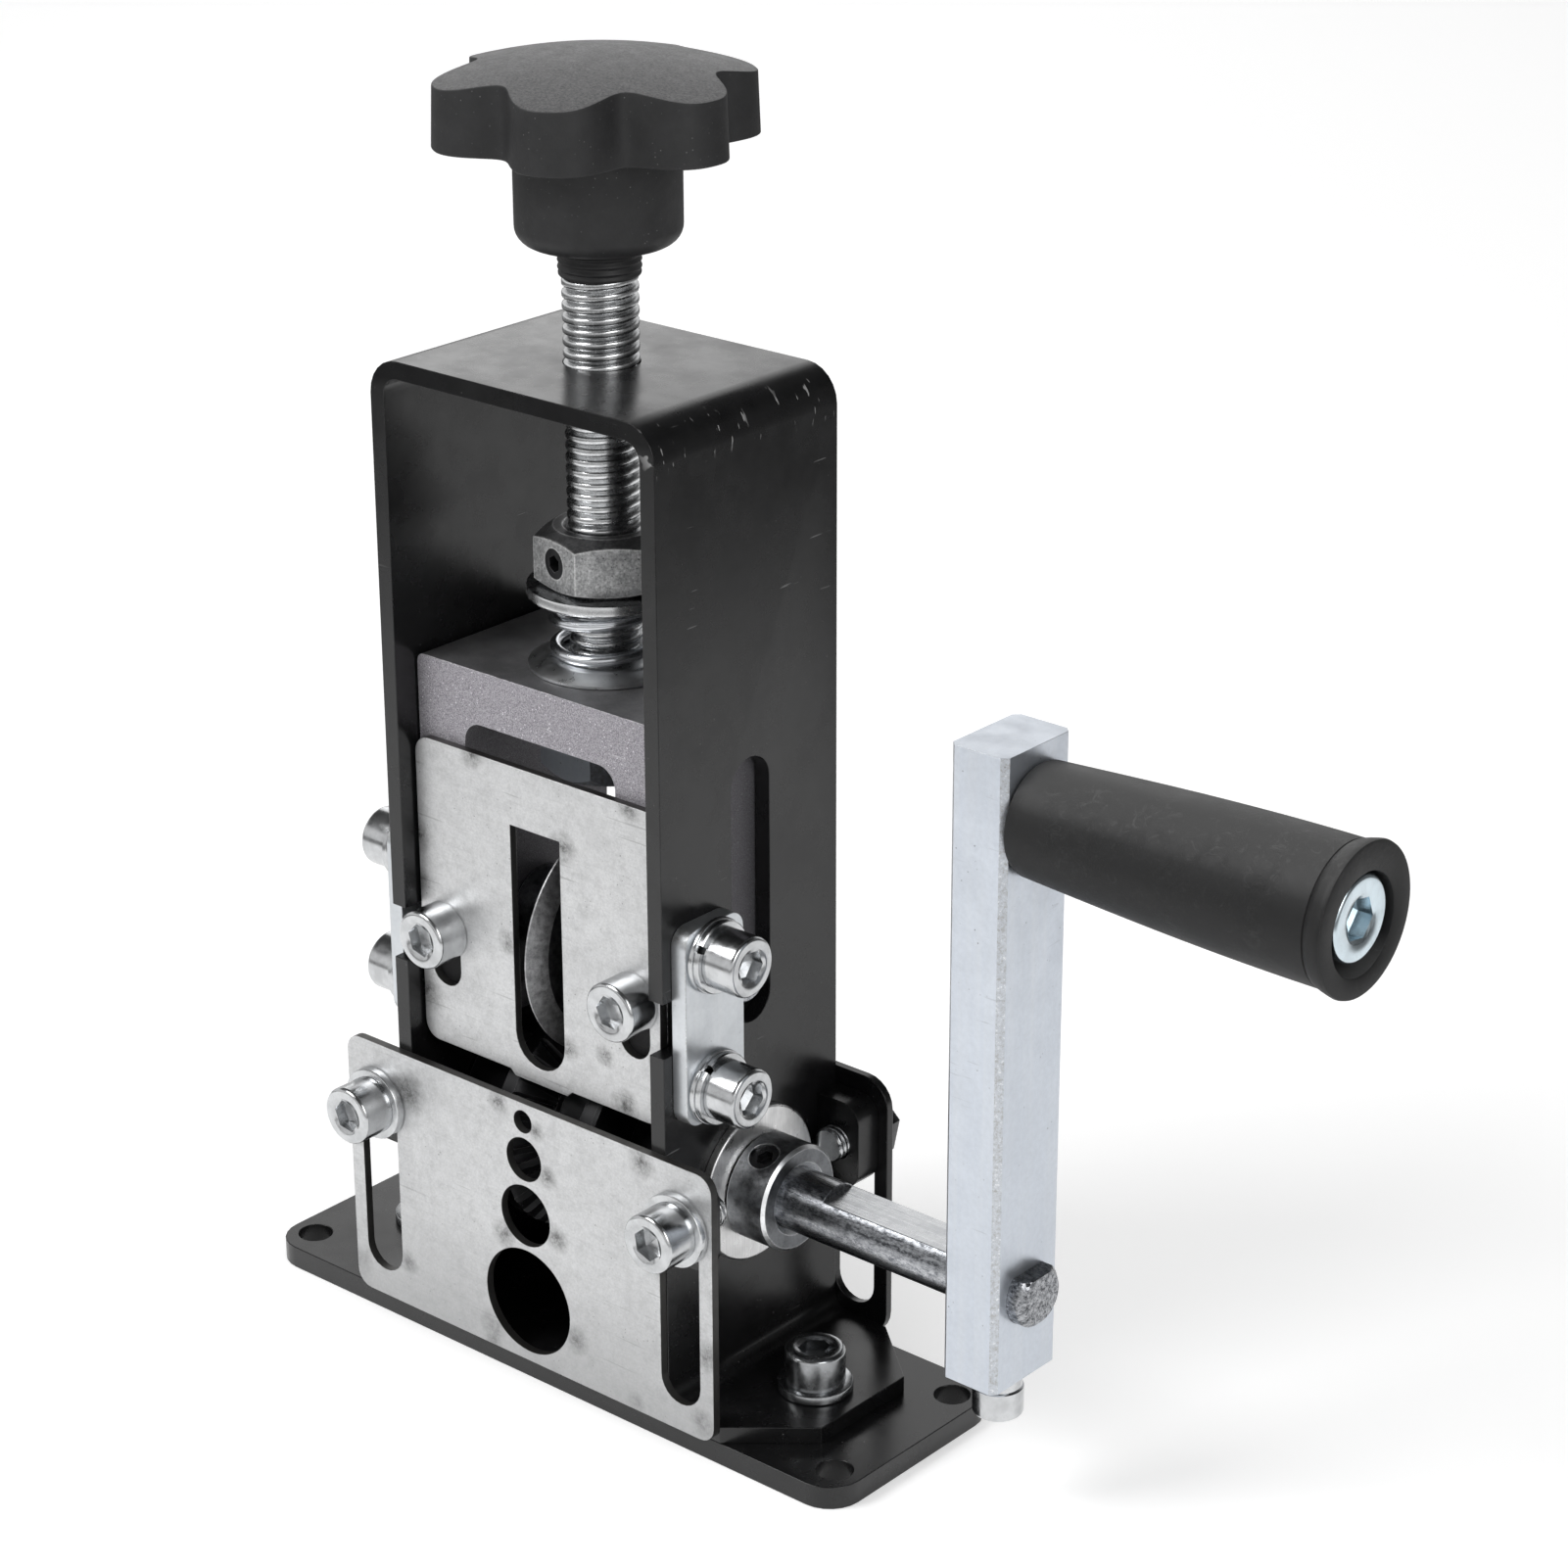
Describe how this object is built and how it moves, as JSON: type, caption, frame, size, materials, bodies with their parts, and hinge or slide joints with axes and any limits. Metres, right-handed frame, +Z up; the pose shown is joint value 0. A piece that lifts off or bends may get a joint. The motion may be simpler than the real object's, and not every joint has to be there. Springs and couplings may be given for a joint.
{
  "type": "hand crank wire stripper",
  "caption": "Bench-mounted wire stripping machine with a hand crank, grooved feed wheel, round blade and a knob that sets the cutting depth.",
  "frame": {"origin": "centre of the base plate's underside, below the adjusting screw", "axes": "+X along the crank shaft towards the handle, -Y towards the wire guide plate, +Z up along the adjusting screw"},
  "size_m": [0.2078, 0.0566, 0.22],
  "materials": {
    "base_plate": "satin black paint with worn edges",
    "frame": "satin black paint with worn edges and dust",
    "front_lugs": "satin black paint",
    "rear_lugs": "satin black paint",
    "foot_screws": "bright zinc plate",
    "foot_washers": "bright zinc plate",
    "side_straps": "pale blue-white zinc plate",
    "strap_screws": "bright zinc plate",
    "strap_washers": "bright zinc plate",
    "shaft_bushes": "grey turned steel",
    "guide_plate": "matt light grey zinc plate",
    "guide_screws": "bright zinc plate",
    "guide_washers": "bright zinc plate",
    "rear_plate": "satin black paint",
    "rear_bolts": "bright zinc plate",
    "pressure_screw": "bright zinc plate",
    "star_knob": "matt black moulded plastic",
    "pressing_nut": "dull grey zinc with blackened chamfers",
    "nut_grub": "black oxide",
    "retaining_nut": "bluish zinc plate",
    "upper_washer": "bright zinc plate",
    "pressure_spring": "bright spring steel",
    "lower_washer": "bright zinc plate",
    "blade_block": "grit-blasted grey steel",
    "blade_axle": "ground steel",
    "stripping_blade": "dark hardened steel with a ground edge",
    "blade_spacers": "turned steel",
    "guard_plate": "matt light grey zinc plate",
    "guard_screws": "bright zinc plate",
    "drive_shaft": "bright ground steel",
    "feed_wheel": "black oxide steel",
    "shaft_collars": "dull mottled grey steel",
    "collar_screws": "black oxide",
    "crank_arm": "satin blue-white zinc plate",
    "clamp_screw": "bright zinc plate",
    "clamp_washer": "bright zinc plate",
    "crank_handle": "matt black rubber",
    "handle_bolt": "bright zinc plate"
  },
  "bodies": {
    "base": {"base_plate": "base_plate", "frame": "frame", "front_lugs": "front_lugs", "rear_lugs": "rear_lugs", "foot_screws": "foot_screws", "foot_washers": "foot_washers", "side_straps": "side_straps", "strap_screws": "strap_screws", "strap_washers": "strap_washers", "shaft_bushes": "shaft_bushes", "guide_screws": "guide_screws", "guide_washers": "guide_washers", "rear_bolts": "rear_bolts"},
    "guide_plate": {"guide_plate": "guide_plate"},
    "rear_plate": {"rear_plate": "rear_plate"},
    "pressing_washer": {"upper_washer": "upper_washer"},
    "screw": {"pressure_screw": "pressure_screw", "star_knob": "star_knob", "pressing_nut": "pressing_nut", "nut_grub": "nut_grub", "retaining_nut": "retaining_nut"},
    "blade_carriage": {"blade_block": "blade_block", "blade_axle": "blade_axle", "blade_spacers": "blade_spacers", "guard_screws": "guard_screws", "lower_washer": "lower_washer", "pressure_spring": "pressure_spring"},
    "blade": {"stripping_blade": "stripping_blade"},
    "guard": {"guard_plate": "guard_plate"},
    "crank": {"drive_shaft": "drive_shaft", "feed_wheel": "feed_wheel", "shaft_collars": "shaft_collars", "collar_screws": "collar_screws", "crank_arm": "crank_arm", "clamp_screw": "clamp_screw", "clamp_washer": "clamp_washer", "handle_bolt": "handle_bolt"},
    "handle": {"crank_handle": "crank_handle"}
  },
  "joints": [
    {"name": "guide_plate_slide", "type": "slide", "parent": "base", "child": "guide_plate", "axis": [0, 0, 1], "range_m": [0, 0.014]},
    {"name": "rear_plate_slide", "type": "slide", "parent": "base", "child": "rear_plate", "axis": [0, 0, 1], "range_m": [0, 0.027]},
    {"name": "feed", "type": "slide", "parent": "base", "child": "pressing_washer", "axis": [0, 0, 1], "range_m": [-0.0028, 0.02275]},
    {"name": "knob_turn", "type": "hinge", "parent": "pressing_washer", "child": "screw", "pos_m": [0, 0, 0.15], "axis": [0, 0, 1], "range_deg": [-577, 4681]},
    {"name": "block_float", "type": "slide", "parent": "pressing_washer", "child": "blade_carriage", "axis": [0, 0, 1], "range_m": [0, 0.003], "stiffness_N_per_m": 17000, "deforming": ["pressure_spring"]},
    {"name": "blade_spin", "type": "hinge", "parent": "blade_carriage", "child": "blade", "pos_m": [0, 0, 0.0755], "axis": [1, 0, 0], "continuous": true},
    {"name": "guard_slide", "type": "slide", "parent": "blade_carriage", "child": "guard", "axis": [0, 0, 1], "range_m": [0, 0.0055]},
    {"name": "crank_turn", "type": "hinge", "parent": "base", "child": "crank", "pos_m": [0, 0, 0.0395], "axis": [1, 0, 0], "continuous": true},
    {"name": "handle_spin", "type": "hinge", "parent": "crank", "child": "handle", "pos_m": [0.1, 0, 0.1188], "axis": [1, 0, 0], "continuous": true}
  ],
  "couplings": [
    {"joint": "knob_turn", "follows": "feed", "rad_per_m": 3590.4}
  ]
}
